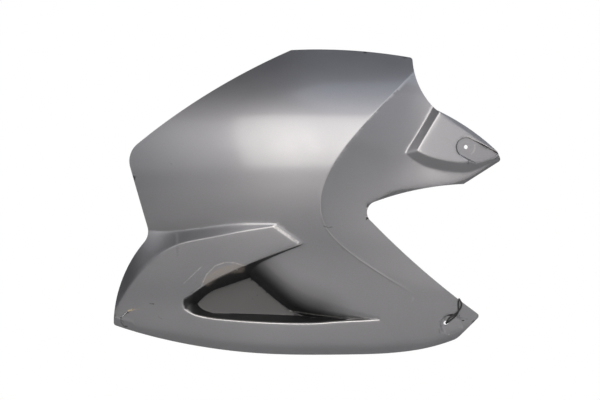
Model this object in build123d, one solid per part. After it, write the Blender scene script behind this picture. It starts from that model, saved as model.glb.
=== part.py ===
from build123d import *
import math
import os

import numpy as np

# Left side fairing of a touring motorcycle: one moulded shell and the tie that hangs on its lower arm.
# Millimetres. X runs to the rear of the machine, Z up, and the outer face looks towards -Y.
# The origin is the upper fixing: the middle of its hole, on the seat under the screw head.
# A stand is how far a face lies outward, towards -Y, of the plane Y = 0.

# Moulding
WALL = 3.0
MOULD_DEPTH = 250.0
MARGIN = 8.0
STEP_ACROSS = 19.0

# Crown: its highest stand, then how far it falls away with height and along the machine
CROWN_STAND = 40.0
CROWN_FALL_UP = (
    (150, -93), (100, -43), (50, -12), (10, -1), (-25, 0.5), (-60, -3.5), (-95, -13), (-130, -28.5),
    (-165, -47), (-200, -62), (-260, -84), (-325, -109),
)
CROWN_FALL_ALONG = (
    (60, -4), (-130, -1), (-200, 0), (-257, -0.5), (-335, -16), (-412, -46), (-490, -85), (-552, -123),
)

# Crease: its line, the slope of the rear face behind it, and how that slope eases towards the upper arm
CREASE_LINE = (
    (170, -55), (126, -82), (42, -155), (-51, -218.5), (-95, -225.5), (-129, -214), (-175, -164), (-222, -91),
    (-260, -30),
)
REAR_SLOPE = (
    (150, 0.45), (100, 0.47), (50, 0.44), (0, 0.39), (-50, 0.37), (-100, 0.28), (-150, 0.125), (-200, 0.05),
    (-245, 0), (-330, 0),
)
REAR_EASE = ((100, 0), (0, 0.0003), (-60, 0.0014), (-120, 0.0005), (-180, 0), (-330, 0))
REAR_RUN = 120.0
ARM_EASE = ((150, 0.3), (50, 0.3), (0, 0.25), (-50, 0.08), (-100, 0), (-180, 0), (-330, 0))
ARM_START = -75.0
ARM_BLEND = 30.0
CREASE_LIFT = 0.3

# Scoop: the line where the crown starts to roll in above the vent, the radius of the roll and its last slope
SCOOP_LINE = (
    (-552, -140), (-412, -132), (-342, -152), (-273, -212), (-211, -239), (-149, -259), (-110, -271),
)
SCOOP_RADIUS = ((-585, 42), (-342, 42), (-273, 38), (-211, 28), (-149, 14), (-110, 11))
SCOOP_ENTRY = 0.10
SCOOP_SLOPE = 2.5
SCOOP_ABOVE = 30.0
SCOOP_REACH = 140.0
SCOOP_END = -115.0

# Lower body: the fin, the front flare and the lip under the vent
BODY_FALL_UP = (
    (-120, -25), (-150, -34), (-180, -45.5), (-210, -59), (-240, -75), (-270, -87.5), (-300, -98.5), (-325, -107.5),
)
BODY_FALL_ALONG = (
    (60, -24), (-60, -7), (-118, -1.5), (-200, -0.5), (-300, 0), (-335, -4.5), (-400, -23), (-448, -40),
    (-490, -54), (-552, -78),
)
BROW_LINE = ((-552, -260), (-528, -222), (-490, -178), (-448, -152), (-410, -143), (-341, -130), (-303, -124))
BROW_SLOPE = ((-552, 0.15), (-490, 0.3), (-448, 0.75), (-400, 0.7), (-335, 0.63), (-300, 0.8))
BROW_RADIUS = 5.0
FIN_END_TOP = (-299.0, -124.0)
FIN_END_TIP = (-260.5, -152.5)
FIN_END_SLOPE = 0.15

# Vent pocket: its outline at a reference stand, the draft of its walls, its floor and the bowed ramp in front of it
VENT_LINE = (
    (-446.5, -238), (-431, -225.5), (-409, -216), (-340, -193), (-254.5, -166), (-195, -148), (-85, -205),
    (-75, -255), (-125, -266.5), (-194, -271), (-243, -274), (-325, -272.5), (-409, -270.5), (-429, -266.5),
    (-445, -254),
)
VENT_STAND = -50.0
VENT_DRAFT = 15.0
LIP_RADIUS = 2.5
FLOOR_STAND = -92.0
FLOOR_RISE = 0.05
RAMP_FOOT = (-414.0, -239.0)
RAMP_BOW = 0.05
RAMP_SPAN = 24.0
RAMP_SLOPE = 1.35
RAMP_RADIUS = 5.0

# Outline, corner by corner from the top edge at the front, against the clock
TOP_FRONT = (-271.0, 152.0)
FRONT_BOW = (-398.0, 85.0)
NOSE = (-529.0, -9.0)
NECK = (-492.0, -138.0)
FLARE_BOW = (-534.0, -200.0)
FRONT_TOE = (-551.0, -279.0)
KEEL = ((-446, -306.5), (-316, -322.5), (-186, -324.2), (-56, -313))
ARM_HEEL = (-12.0, -299.0)
LOWER_TIP = (24.0, -262.5)
KNEE_BOW = (-70.5, -187.5)
KNEE_LOW = (-146.5, -115.5)
KNEE_END = (-153.5, -100.0)
KNEE_HIGH = (-142.6, -85.2)
ARM_BOW = (-115.0, -76.0)
ARM_BELLY = (-3.0, -57.3)
UPPER_TIP = (55.0, -20.5)
BOSS_TIP = (49.0, -7.0)
BOSS_BOW = (-5.6, 35.6)
BOSS_TOP = (-45.0, 57.0)
REAR_BOW = (-73.6, 97.6)
TOP_REAR = (-82.0, 139.5)
TOP_BOW = (-180.0, 151.5)
CORNER_SMALL = 5.0
CORNER_NECK = 26.0
CORNER_NOSE = 34.0
CORNER_HEEL = 30.0
CORNERS = (
    (CORNER_NOSE, [NOSE]),
    (CORNER_NECK, [NECK]),
    (CORNER_HEEL, [ARM_HEEL]),
    (CORNER_SMALL, [TOP_FRONT, FRONT_TOE, LOWER_TIP, UPPER_TIP, BOSS_TOP, TOP_REAR]),
)

# Edge rolls: the width of the band that turns in, and its slope
KEEL_ROLL = 12.0
KEEL_ROLL_SLOPE = 1.3
ARM_ROLL = 7.0
ARM_ROLL_SLOPE = 1.1
ARM_ROLL_FADE = 40.0

# Upper fixing: a raised boss with a seat cut into it, open at the tip of the arm
BOSS_FOOT = ((-112, -14), (-40, 83), (95, 83), (95, 12), (28, -29), (4, -42), (-32, -44.5), (-69, -39.5))
BOSS_FOOT_STAND = -14.0
BOSS_DRAFT = 48.0
BOSS_CORNER = 12.0
BOSS_STAND = 3.0
BOSS_YAW = 6.0
BOSS_PITCH = 5.0
UPPER_SEAT_RADIUS = 14.5
UPPER_SEAT_YAW = 12.0
UPPER_SEAT_RUN = 80.0
UPPER_SEAT_DIP = 28.0
UPPER_HOLE_RADIUS = 3.25

# Lower fixing: a shallow round seat, off centre from its hole
LOWER_HOLE = (-29.6, -274.4)
LOWER_HOLE_RADIUS = 3.75
LOWER_SEAT_RADIUS = 17.0
LOWER_SEAT_SHIFT = (9.0, -3.0)
LOWER_SEAT_DEPTH = 1.6
LOWER_SEAT_PITCH = 18.0

# Locating pegs behind the panel, with the cross of ribs at the foot of each
CROWN_PEGS = ((-285.0, 112.0), (-478.0, -30.0))
BODY_PEGS = ((-470.0, -282.0),)
PEG_RADIUS = 5.0
PEG_LENGTH = 24.0
PEG_ROUND = 1.5
RIB_WALL = 2.0
RIB_SPAN = 26.0
RIB_LENGTH = 12.0

# Crack in the front lower corner
CRACK = ((-530, -292), (-538.5, -274), (-538.5, -267), (-525.5, -256))
CRACK_WIDTH = 0.6
CRACK_SLANT = (0.5, 1.0, 0.3)

# Tie: wound twice through the lower hole and over the edge of the lower arm
TIE_EDGE = (-9.3, -234.0)
TIE_RADIUS = 0.9
TIE_SIDES = 10
TIE_REACH = 4.4
TIE_SPREAD = 1.1
TIE_END = 8.0


def law(stations):
    """One size against another: a natural cubic through the stations, straight beyond them."""
    at, value = np.array(sorted(stations), dtype=float).T
    gap = np.diff(at)
    slope = np.diff(value) / gap
    count = len(at)
    system = np.eye(count)
    right = np.zeros(count)
    for i in range(1, count - 1):
        system[i, i - 1:i + 2] = gap[i - 1], 2 * (gap[i - 1] + gap[i]), gap[i]
        right[i] = 6 * (slope[i] - slope[i - 1])
    bend = np.linalg.solve(system, right)
    first = slope[0] - gap[0] * bend[1] / 6
    last = slope[-1] + gap[-1] * bend[-2] / 6

    def value_at(t):
        if t <= at[0]:
            return value[0] + first * (t - at[0])
        if t >= at[-1]:
            return value[-1] + last * (t - at[-1])
        i = int(np.searchsorted(at, t)) - 1
        above = at[i + 1] - t
        below = t - at[i]
        cubic = (bend[i] * above**3 + bend[i + 1] * below**3) / (6 * gap[i])
        low = (value[i] / gap[i] - bend[i] * gap[i] / 6) * above
        high = (value[i + 1] / gap[i] - bend[i + 1] * gap[i] / 6) * below
        return cubic + low + high

    return value_at


crown_up = law(CROWN_FALL_UP)
crown_along = law(CROWN_FALL_ALONG)
crease = law(CREASE_LINE)
rear_slope = law(REAR_SLOPE)
rear_ease = law(REAR_EASE)
arm_ease = law(ARM_EASE)
scoop_line = law(SCOOP_LINE)
scoop_radius = law(SCOOP_RADIUS)
body_up = law(BODY_FALL_UP)
body_along = law(BODY_FALL_ALONG)
brow = law(BROW_LINE)
brow_slope = law(BROW_SLOPE)
keel = law((FRONT_TOE, *KEEL, ARM_HEEL))
arm_edge = law((KNEE_HIGH, ARM_BOW, ARM_BELLY, UPPER_TIP))


def crown_stand(x, z):
    return CROWN_STAND + crown_up(z) + crown_along(x)


def rear_stand(x, z):
    """Rear face: leaves the crown at the crease, eases as it goes and turns to face outward on the arm."""
    line = crease(z)
    run = x - line
    bend = run**2 / 2 if run < REAR_RUN else REAR_RUN * run - REAR_RUN**2 / 2
    along_arm = x - ARM_START
    turned = arm_ease(z) * (math.hypot(along_arm, ARM_BLEND) + along_arm) / 2
    return crown_stand(line, z) - rear_slope(z) * run + rear_ease(z) * bend + turned + CREASE_LIFT


def scoop_stand(x, z):
    """Scoop: below its line the crown rolls in on an arc, then runs straight on."""
    below = scoop_line(x) - z
    radius = scoop_radius(x)
    arc = radius * SCOOP_SLOPE / math.hypot(1, SCOOP_SLOPE)
    turned = min(max(below, 0), arc)
    rolled = radius - math.sqrt(radius**2 - turned**2) + SCOOP_SLOPE * max(below - arc, 0)
    return crown_stand(x, z) - SCOOP_ENTRY * below - rolled


def body_stand(x, z):
    return CROWN_STAND + body_up(z) + body_along(x)


def brow_stand(x, z):
    """Top of the fin and of the flare: slopes back from the brow line until it meets the crown."""
    edge = brow(x)
    return body_stand(x, edge) - brow_slope(x) * (z - edge)


def fin_end_line(x):
    (x0, z0), (x1, z1) = FIN_END_TOP, FIN_END_TIP
    return z0 + (z1 - z0) * (x - x0) / (x1 - x0)


def fin_end_stand(x, z):
    edge = fin_end_line(x)
    return body_stand(x, edge) - FIN_END_SLOPE * (z - edge)


def keel_stand(x, z):
    edge = keel(x) + KEEL_ROLL
    return max(crown_stand(x, edge), body_stand(x, edge)) - KEEL_ROLL_SLOPE * (edge - z)


def arm_roll_line(x):
    """Inner line of the rolled edge under the upper arm, which runs out at the knee."""
    share = min(max((x - KNEE_END[0]) / ARM_ROLL_FADE, 0), 1)
    return arm_edge(x) + ARM_ROLL * share


def arm_roll_stand(x, z):
    edge = arm_roll_line(x)
    return rear_stand(x, edge) - ARM_ROLL_SLOPE * (edge - z)


def boss_stand(x, z):
    return BOSS_STAND - math.tan(math.radians(BOSS_YAW)) * x - math.tan(math.radians(BOSS_PITCH)) * z


def floor_stand(x, z):
    """Floor of the vent, which ramps up to the lip at its front end."""
    foot, middle = RAMP_FOOT
    bow = RAMP_BOW * min(abs(z - middle), RAMP_SPAN)**2
    ahead = foot + bow - x
    ramp = RAMP_SLOPE * (ahead + math.hypot(ahead, RAMP_RADIUS)) / 2
    return FLOOR_STAND + FLOOR_RISE * (x - foot) + ramp


def span(start, end, step):
    count = max(4, math.ceil((end - start) / step) + 1)
    return np.linspace(start, end, count)


def inset(stand, depth):
    """The same face moved in by a depth that is measured square to it."""
    def moved(x, z):
        across = stand(x + 0.5, z) - stand(x - 0.5, z)
        up = stand(x, z + 0.5) - stand(x, z - 0.5)
        return stand(x, z) - depth * math.sqrt(1 + across**2 + up**2)

    return moved if depth else stand


def skin(stand, depth, places):
    moved = inset(stand, depth)
    rows = [[(x, -moved(x, z), z) for x, z in row] for row in places]
    return Face.make_surface_from_array_of_points(rows, tol=0.1, min_deg=3, max_deg=3)


def inward(face, far):
    return Solid.extrude(face, Vector(0, far, 0))


def outward(face):
    return Solid.extrude(face, Vector(0, -3 * MOULD_DEPTH, 0))


def cutter(stand, depth, rows):
    """All that lies outside a face that turns sharply: a loft through its rows, kept to each of their points."""
    moved = inset(stand, depth)
    sections = []
    for row in rows:
        line = [Vector(x, -moved(x, z), z) for x, z in row]
        far = [Vector(x, -3 * MOULD_DEPTH, z) for x, z in (row[-1], row[0])]
        shares = [float(share) for share in np.linspace(0, 1, len(line))]
        sides = Wire.make_polygon([line[-1], *far, line[0]], close=False)
        sections.append(Wire([Edge.make_spline(line, parameters=shares), *sides.edges()]))
    return Solid.make_loft(sections)


def crown_solid(depth, more):
    face = skin(crown_stand, depth, [
        [(x, z) for z in span(-350 - more, 170 + more, STEP_ACROSS)]
        for x in span(-575 - more, 80 + more, STEP_ACROSS)
    ])
    rear = skin(rear_stand, depth, [
        [(crease(z) + behind, z) for z in span(-330, 175 + more, STEP_ACROSS)]
        for behind in span(-30, 330, 15)
    ])
    return inward(face, MOULD_DEPTH + more) - outward(rear) - scoop_tool(depth, more)


def scoop_tool(depth, more):
    """All that lies outside the scoop, which ends where the body and the crown are level."""
    return cutter(scoop_stand, depth, [
        [(x, scoop_line(x) - below) for below in span(-SCOOP_ABOVE, SCOOP_REACH, 4)]
        for x in span(-585 - more, SCOOP_END, 15)
    ])


def vent_ring(stand, grow):
    """Outline of the vent at a stand, opened by its draft and moved out by a wall."""
    ring = np.array(VENT_LINE, dtype=float)
    along = np.roll(ring, -1, axis=0) - np.roll(ring, 1, axis=0)
    out = np.column_stack((along[:, 1], -along[:, 0])) / np.linalg.norm(along, axis=1)[:, None]
    draft = math.radians(VENT_DRAFT)
    ring -= out * ((stand - VENT_STAND) * math.tan(draft) + grow / math.cos(draft))
    return Wire([Spline(*[(x, -stand, z) for x, z in ring], periodic=True)])


def vent_tool(depth):
    walls = Solid.make_loft([vent_ring(CROWN_STAND, depth), vent_ring(FLOOR_STAND - 20, depth)], True)
    floor = cutter(floor_stand, depth, [[(x, z) for x in span(-520, 0, 5)] for z in span(-330, -60, 15)])
    return walls & floor


def lies_on(edge, *stands):
    """True where an edge runs along each of the faces given by their stands."""
    points = [edge.position_at(share) for share in (0.3, 0.5, 0.7)]
    return all(abs(p.Y + stand(p.X, p.Z)) < 0.5 for p in points for stand in stands)


def body_solid(depth, more):
    face = skin(body_stand, depth, [
        [(x, z) for z in span(-350 - more, -95, STEP_ACROSS)]
        for x in span(-575 - more, 40, STEP_ACROSS)
    ])
    top = skin(brow_stand, depth, [
        [(x, brow(x) + above) for above in span(-30, 170, 20)]
        for x in span(-585 - more, -250, STEP_ACROSS)
    ])
    end = skin(fin_end_stand, depth, [
        [(x, fin_end_line(x) + above) for above in span(-30, 330, 30)]
        for x in span(-330, 60, 30)
    ])
    solid = inward(face, MOULD_DEPTH - 5) - outward(top) - outward(end)
    if depth:
        return solid - vent_tool(depth)
    brow_edges = [e for e in solid.edges() if lies_on(e, body_stand, brow_stand)]
    end_edges = [e for e in solid.edges() if lies_on(e, body_stand, fin_end_stand)]
    solid = solid.fillet(BROW_RADIUS, brow_edges + end_edges)
    known = [e.position_at(0.5) for e in solid.edges()]
    solid = solid - vent_tool(depth)
    fresh = [e for e in solid.edges() if min((e.position_at(0.5) - p).length for p in known) > 0.5]
    return solid.fillet(LIP_RADIUS, [e for e in fresh if lies_on(e, body_stand)])


def boss_solid(depth):
    """Raised boss. Moved in along the draw, it leaves its walls and its top with the shell's thickness."""
    move = depth / math.sin(math.radians(BOSS_DRAFT))
    with BuildPart() as boss:
        with BuildSketch(Plane.XZ.offset(BOSS_FOOT_STAND)) as foot:
            Polygon(*BOSS_FOOT, align=None)
            corners = [v for v in foot.vertices() if v.Y < 40]
            fillet(corners, BOSS_CORNER)
        extrude(amount=36, taper=BOSS_DRAFT)
    face = skin(boss_stand, 0, [[(x, z) for z in span(-80, 110, 40)] for x in span(-150, 130, 40)])
    return (boss.part.solid() - outward(face)).moved(Location((0, move, 0)))


def upper_seat_plane():
    yaw = math.radians(UPPER_SEAT_YAW)
    return Plane((0, 0, 0), x_dir=(math.cos(yaw), math.sin(yaw), 0), z_dir=(math.sin(yaw), -math.cos(yaw), 0))


def upper_seat_tool(depth):
    with BuildPart() as tool:
        with BuildSketch(upper_seat_plane().offset(-depth)):
            dip = math.radians(UPPER_SEAT_DIP)
            with Locations((math.cos(dip) * UPPER_SEAT_RUN / 2, -math.sin(dip) * UPPER_SEAT_RUN / 2)):
                SlotCenterToCenter(UPPER_SEAT_RUN, 2 * (UPPER_SEAT_RADIUS + depth), rotation=-UPPER_SEAT_DIP)
        extrude(amount=60)
    return tool.part.solid()


def lower_seat_plane():
    pitch = math.radians(LOWER_SEAT_PITCH)
    x, z = LOWER_HOLE
    stand = crown_stand(x, z) - LOWER_SEAT_DEPTH
    return Plane((x, -stand, z), x_dir=(1, 0, 0), z_dir=(0, -math.cos(pitch), -math.sin(pitch)))


def lower_seat_tool(depth):
    with BuildPart() as tool:
        with BuildSketch(lower_seat_plane().offset(-depth)):
            with Locations(LOWER_SEAT_SHIFT):
                Circle(LOWER_SEAT_RADIUS + depth)
        extrude(amount=60)
    return tool.part.solid()


def roll_tools(depth, more):
    keel_face = skin(keel_stand, depth, [
        [(x, keel(x) + KEEL_ROLL - below) for below in span(-24, 64, 11)]
        for x in span(-590 - more, 90, STEP_ACROSS)
    ])
    arm_face = skin(arm_roll_stand, depth, [
        [(x, arm_roll_line(x) - below) for below in span(-16, 18, 7)]
        for x in span(KNEE_END[0] + 2, 90, 12)
    ])
    return outward(keel_face), outward(arm_face)


def form(depth, more):
    """Everything behind the outer face, or behind the same face moved in by a depth."""
    solid = crown_solid(depth, more) + body_solid(depth, more)
    for tool in roll_tools(depth, more):
        solid = solid - tool
    solid = solid + boss_solid(depth)
    return solid - upper_seat_tool(depth) - lower_seat_tool(depth)


def outline_solid():
    with BuildPart() as prism:
        with BuildSketch(Plane.XZ) as sketch:
            with BuildLine():
                ThreePointArc(TOP_FRONT, FRONT_BOW, NOSE)
                Line(NOSE, NECK)
                ThreePointArc(NECK, FLARE_BOW, FRONT_TOE)
                Spline(FRONT_TOE, *KEEL, ARM_HEEL)
                Line(ARM_HEEL, LOWER_TIP)
                ThreePointArc(LOWER_TIP, KNEE_BOW, KNEE_LOW)
                ThreePointArc(KNEE_LOW, KNEE_END, KNEE_HIGH)
                Spline(KNEE_HIGH, ARM_BOW, ARM_BELLY)
                Line(ARM_BELLY, UPPER_TIP)
                Line(UPPER_TIP, BOSS_TIP)
                ThreePointArc(BOSS_TIP, BOSS_BOW, BOSS_TOP)
                ThreePointArc(BOSS_TOP, REAR_BOW, TOP_REAR)
                ThreePointArc(TOP_REAR, TOP_BOW, TOP_FRONT)
            make_face()
            for radius, places in CORNERS:
                for x, z in places:
                    corner = sketch.vertices().sort_by_distance((x, z, 0))[0]
                    fillet(corner, radius)
        extrude(amount=MOULD_DEPTH, both=True)
    return prism.part.solid()


def peg_solid(stand, x, z):
    """One peg and its ribs, rooted half way into the wall and standing along the draw."""
    reach = RIB_SPAN / 2 + 4
    face = skin(stand, WALL / 2, [[(x + i, z + k) for k in span(-reach, reach, 8)] for i in span(-reach, reach, 8)])
    foot = -stand(x, z)
    with BuildPart() as peg:
        with Locations((x, foot, z)):
            Box(RIB_SPAN, 2 * RIB_LENGTH, RIB_WALL)
            Box(RIB_WALL, 2 * RIB_LENGTH, RIB_SPAN)
        with BuildSketch(Plane.XZ.offset(-foot)):
            with Locations((x, z)):
                Circle(PEG_RADIUS)
        extrude(amount=-PEG_LENGTH)
        chamfer(peg.edges().sort_by(Axis.Y)[-1], PEG_ROUND)
    return peg.part.solid() & inward(face, MOULD_DEPTH)


def crack_solid():
    """The crack runs through the wall on a slant, so that its sides hide what is behind it."""
    x, z = CRACK[1]
    with BuildPart() as slit:
        with BuildSketch(Plane.XZ.offset(body_stand(x, z))):
            for (x0, z0), (x1, z1) in zip(CRACK, CRACK[1:]):
                length = math.hypot(x1 - x0, z1 - z0) + CRACK_WIDTH
                with Locations(((x0 + x1) / 2, (z0 + z1) / 2)):
                    Rectangle(length, CRACK_WIDTH, rotation=math.degrees(math.atan2(z1 - z0, x1 - x0)))
        extrude(amount=10 * WALL, dir=CRACK_SLANT, both=True)
    return slit.part.solid()


def panel_solid():
    outer = form(0, 0) & outline_solid()
    panel = outer - form(WALL, MARGIN)
    for x, z in CROWN_PEGS:
        panel = panel + peg_solid(crown_stand, x, z)
    for x, z in BODY_PEGS:
        panel = panel + peg_solid(body_stand, x, z)
    panel = panel - upper_seat_plane() * Cylinder(UPPER_HOLE_RADIUS, 8 * WALL)
    panel = panel - lower_seat_plane() * Cylinder(LOWER_HOLE_RADIUS, 8 * WALL)
    return panel - crack_solid()


def tie_solid():
    """The tie goes round twice, its turns side by side in front, and its ends stop short behind."""
    (x0, z0), (x1, z1) = LOWER_HOLE, TIE_EDGE
    start = Vector(x0, LOWER_SEAT_DEPTH + WALL / 2 - crown_stand(x0, z0), z0)
    end = Vector(x1, WALL / 2 - rear_stand(x1, z1), z1)
    along = (end - start).normalized()
    side = along.cross(lower_seat_plane().z_dir).normalized()
    out = side.cross(along)
    near = -2 * TIE_RADIUS
    far = (end - start).length + 2 * TIE_RADIUS
    turns = [
        (TIE_END, -1, 2.5 * TIE_SPREAD), (far, -1, 2 * TIE_SPREAD), (far, 1, 2 * TIE_SPREAD), (near, 1, TIE_SPREAD),
        (near, -1, TIE_SPREAD), (far, -1, -2 * TIE_SPREAD), (far, 1, -2 * TIE_SPREAD), (near, 1, -TIE_SPREAD),
        (near, -1, -TIE_SPREAD), (TIE_END, -1, -2.5 * TIE_SPREAD),
    ]
    points = [start + along * run + out * TIE_REACH * face + side * apart for run, face, apart in turns]
    path = FilletPolyline(*points, radius=0.9 * TIE_REACH)
    profile = Plane(path @ 0, z_dir=path % 0) * RegularPolygon(TIE_RADIUS, TIE_SIDES)
    return sweep(profile, path=path)


os.makedirs("parts", exist_ok=True)
export_step(panel_solid(), "parts/side_panel.step")
export_step(tie_solid(), "parts/tie_loop.step")
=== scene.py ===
import math

import bmesh
import bpy
import numpy as np
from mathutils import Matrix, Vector


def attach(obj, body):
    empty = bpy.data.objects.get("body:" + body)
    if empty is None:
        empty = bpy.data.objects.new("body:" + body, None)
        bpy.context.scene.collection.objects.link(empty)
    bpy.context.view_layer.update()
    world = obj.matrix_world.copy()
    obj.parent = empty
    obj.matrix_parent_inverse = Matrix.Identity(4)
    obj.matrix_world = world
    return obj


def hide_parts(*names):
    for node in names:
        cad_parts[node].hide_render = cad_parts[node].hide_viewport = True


# Left side fairing of a touring motorcycle: one satin painted shell and the tie on its lower arm.
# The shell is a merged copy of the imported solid, cut finer in front and laid on the faces of its mould.
# Sizes are in millimetres as in the part's source, and in metres in Blender.
# A stand is how far a face lies outward, towards -Y, of the plane Y = 0.
# SHOWN values give a form as the photograph shows it, where it differs from the solid's own.

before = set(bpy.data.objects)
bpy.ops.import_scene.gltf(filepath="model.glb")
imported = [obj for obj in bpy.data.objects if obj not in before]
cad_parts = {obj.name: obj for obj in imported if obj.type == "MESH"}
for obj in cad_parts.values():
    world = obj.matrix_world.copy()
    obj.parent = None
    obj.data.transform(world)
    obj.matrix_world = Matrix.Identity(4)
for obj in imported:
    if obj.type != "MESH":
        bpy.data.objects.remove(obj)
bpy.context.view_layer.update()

MM = 0.001

# Crown, rear face and scoop
CROWN_STAND = 40.0
CROWN_FALL_UP = (
    (150, -93), (100, -43), (50, -12), (10, -1), (-25, 0.5), (-60, -3.5), (-95, -13), (-130, -28.5),
    (-165, -47), (-200, -62), (-260, -84), (-325, -109),
)
CROWN_FALL_ALONG = (
    (60, -4), (-130, -1), (-200, 0), (-257, -0.5), (-335, -16), (-412, -46), (-490, -85), (-552, -123),
)
CREASE_LINE = (
    (170, -55), (126, -82), (42, -155), (-51, -218.5), (-95, -225.5), (-129, -214), (-175, -164),
    (-222, -91), (-260, -30),
)
CREASE_REACH = 12.0
CREASE_END = -243.0
REAR_SLOPE = (
    (150, 0.45), (100, 0.47), (50, 0.44), (0, 0.39), (-50, 0.37), (-100, 0.28), (-150, 0.125),
    (-200, 0.05), (-245, 0), (-330, 0),
)
REAR_EASE = ((100, 0), (0, 0.0003), (-60, 0.0014), (-120, 0.0005), (-180, 0), (-330, 0))
REAR_RUN = 120.0
ARM_EASE = ((150, 0.3), (50, 0.3), (0, 0.25), (-50, 0.08), (-100, 0), (-180, 0), (-330, 0))
ARM_START = -75.0
ARM_BLEND = 30.0
CREASE_LIFT = 0.3
SCOOP_LINE = (
    (-552, -140), (-412, -132), (-342, -152), (-273, -212), (-211, -239), (-149, -259), (-110, -271),
)
SCOOP_RADIUS = ((-585, 42), (-342, 42), (-273, 38), (-211, 28), (-149, 14), (-110, 11))
SCOOP_LEAST_RADIUS = 8.0
SCOOP_ENTRY = 0.10
SCOOP_SLOPE = 2.5
SCOOP_FADE = -136.0
SCOOP_FADE_RATE = 0.15

# Lower body with the fin
BODY_FALL_UP = (
    (-120, -25), (-150, -34), (-180, -45.5), (-210, -59), (-240, -75), (-270, -87.5), (-300, -98.5),
    (-325, -107.5),
)
BODY_FALL_ALONG = (
    (60, -24), (-60, -7), (-118, -1.5), (-200, -0.5), (-300, 0), (-335, -4.5), (-400, -23), (-448, -40),
    (-490, -54), (-552, -78),
)
BROW_LINE = (
    (-552, -260), (-528, -222), (-490, -178), (-448, -152), (-410, -143), (-341, -130), (-303, -124),
)
BROW_SLOPE = ((-552, 0.15), (-490, 0.3), (-448, 0.75), (-400, 0.7), (-335, 0.63), (-300, 0.8))
FIN_END_TOP = (-299.0, -124.0)
FIN_END_TIP = (-260.5, -152.5)
FIN_END_SLOPE = 0.15

# Vent pocket
VENT_LINE = (
    (-446.5, -238), (-431, -225.5), (-409, -216), (-340, -193), (-254.5, -166), (-195, -148),
    (-85, -205), (-75, -255), (-125, -266.5), (-194, -271), (-243, -274), (-325, -272.5),
    (-409, -270.5), (-429, -266.5), (-445, -254),
)
SHOWN_VENT_LINE = ((-446, -241), (-442.5, -232.5)) + VENT_LINE[1:13] + ((-437, -260), (-444.5, -251))
VENT_CURVE_STEPS = 6
VENT_SURROUND_ALONG = (-500, -40)
VENT_SURROUND_UP = (-310, -110)
VENT_FAR = 60.0
VENT_STAND = -50.0
VENT_DRAFT = 15.0
FLOOR_RISE = 0.05
RAMP_MIDDLE = -239.0
RAMP_BOW = 0.05
RAMP_SPAN = 24.0
RAMP_FOOT = -414.0
RAMP_SLOPE = 1.35
RAMP_RADIUS = 5.0
SOLID_FLOOR = -92.0
# The photograph shows a floor a little deeper, and a long rounded slope at the nose
SHOWN_FLOOR = -96.0
NOSE_INSET = 4.5
NOSE_DRAFT = 46.0
NOSE_SPAN = (-390, -432)

# Rolled edges
KEEL_LINE = ((-551, -279), (-446, -306.5), (-316, -322.5), (-186, -324.2), (-56, -313), (-12, -299))
KEEL_ROLL = 12.0
KEEL_ROLL_SLOPE = 1.3
# The photograph shows the roll of the keel running out towards both ends
KEEL_FADE = 5.0
KEEL_LEFT_SPAN = (-440, -510)
KEEL_RIGHT_SPAN = (-110, -50)
ARM_EDGE = ((-142.6, -85.2), (-115, -76), (-3, -57.3), (55, -20.5))
KNEE_END = -153.5
ARM_ROLL = 7.0
ARM_ROLL_SLOPE = 1.1
ARM_ROLL_FADE = 40.0
ARM_ROLL_START = 2.0
ARM_ROLL_UP = (-110, 40)

# Fixings
BOSS_FOOT = ((-112, -14), (-40, 83), (95, 83), (95, 12), (28, -29), (4, -42), (-32, -44.5), (-69, -39.5))
BOSS_FOOT_STAND = -14.0
BOSS_DRAFT = 48.0
BOSS_STAND = 3.0
BOSS_YAW = 6.0
BOSS_PITCH = 5.0
BOSS_CORNER = (-125, -60)
# The photograph shows a boss that reaches further to the left, with a narrow bevel on its top
SHOWN_BOSS_FOOT = (
    (-115, -14), (-31, 83), (95, 83), (95, 16), (28, -25), (4, -37), (-32, -39.5), (-69, -35),
)
SHOWN_BOSS_FOOT_STAND = -6.0
SHOWN_BOSS_DRAFT = 44.0
SHOWN_BOSS_YAW = 10.5
BOSS_RIM = ((-40.3, 57.4), (45, -3.1))
BOSS_RIM_WIDTH = 3.6
BOSS_RIM_SLOPE = 0.5
BOSS_RIM_SOFT = 0.3
UPPER_SEAT_RADIUS = 14.5
UPPER_SEAT_YAW = 12.0
UPPER_SEAT_RUN = 80.0
UPPER_SEAT_DIP = 28.0
UPPER_SEAT_LEFT = -40.0
LOWER_HOLE = (-29.6, -274.4)
LOWER_SEAT_MIDDLE = (-20.6, -277.25)
LOWER_SEAT_RADIUS = 17.0
LOWER_SEAT_DEPTH = 1.6
LOWER_SEAT_PITCH = 18.0
LOWER_SEAT_REACH = 2.0
SEAT_WALL_SLOPE = 2.0
# Middle of each fixing hole, and a circle just outside it
HOLES = ((0.0, 0.0, 4.2), LOWER_HOLE + (4.8,))

# How softly the faces run into one another, and the spans, along or up, over which that changes
CREASE_SOFT = 0.15
SCOOP_SOFT = 0.6
BROW_EDGE_SOFT = 0.5
BROW_FADE_SOFT = 1.2
BROW_FADE_SPAN = (-440, -515)
FIN_END_SOFT = 0.45
LIP_SOFT = 2.2
NOSE_SOFT = 0.5
LIP_SPAN = (-395, -430)
FLOOR_SOFT = 0.7
JOIN_SOFT = 0.6
BROW_SOFT = 1.6
BROW_SPAN_ALONG = (-285, -310)
BROW_SPAN_UP = (-200, -170)
TAIL_SOFT = 0.02
TAIL_SPAN = (-175, -135)
KEEL_SOFT = 1.2
KEEL_SHOWN_SOFT = 1.6
ARM_SOFT = 0.6
BOSS_CORNER_SOFT = 1.8
BOSS_EDGE_SOFT = 0.6
BOSS_FOOT_SOFT = 0.7
SEAT_SOFT = 0.4

# The fine bead that mould and paint leave along the crease
BEAD_HEIGHT = 0.7
BEAD_WIDTH = 1.5
BEAD_LOW_SPAN = (-235, -190)
BEAD_HIGH_SPAN = (-50, -110)

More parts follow.
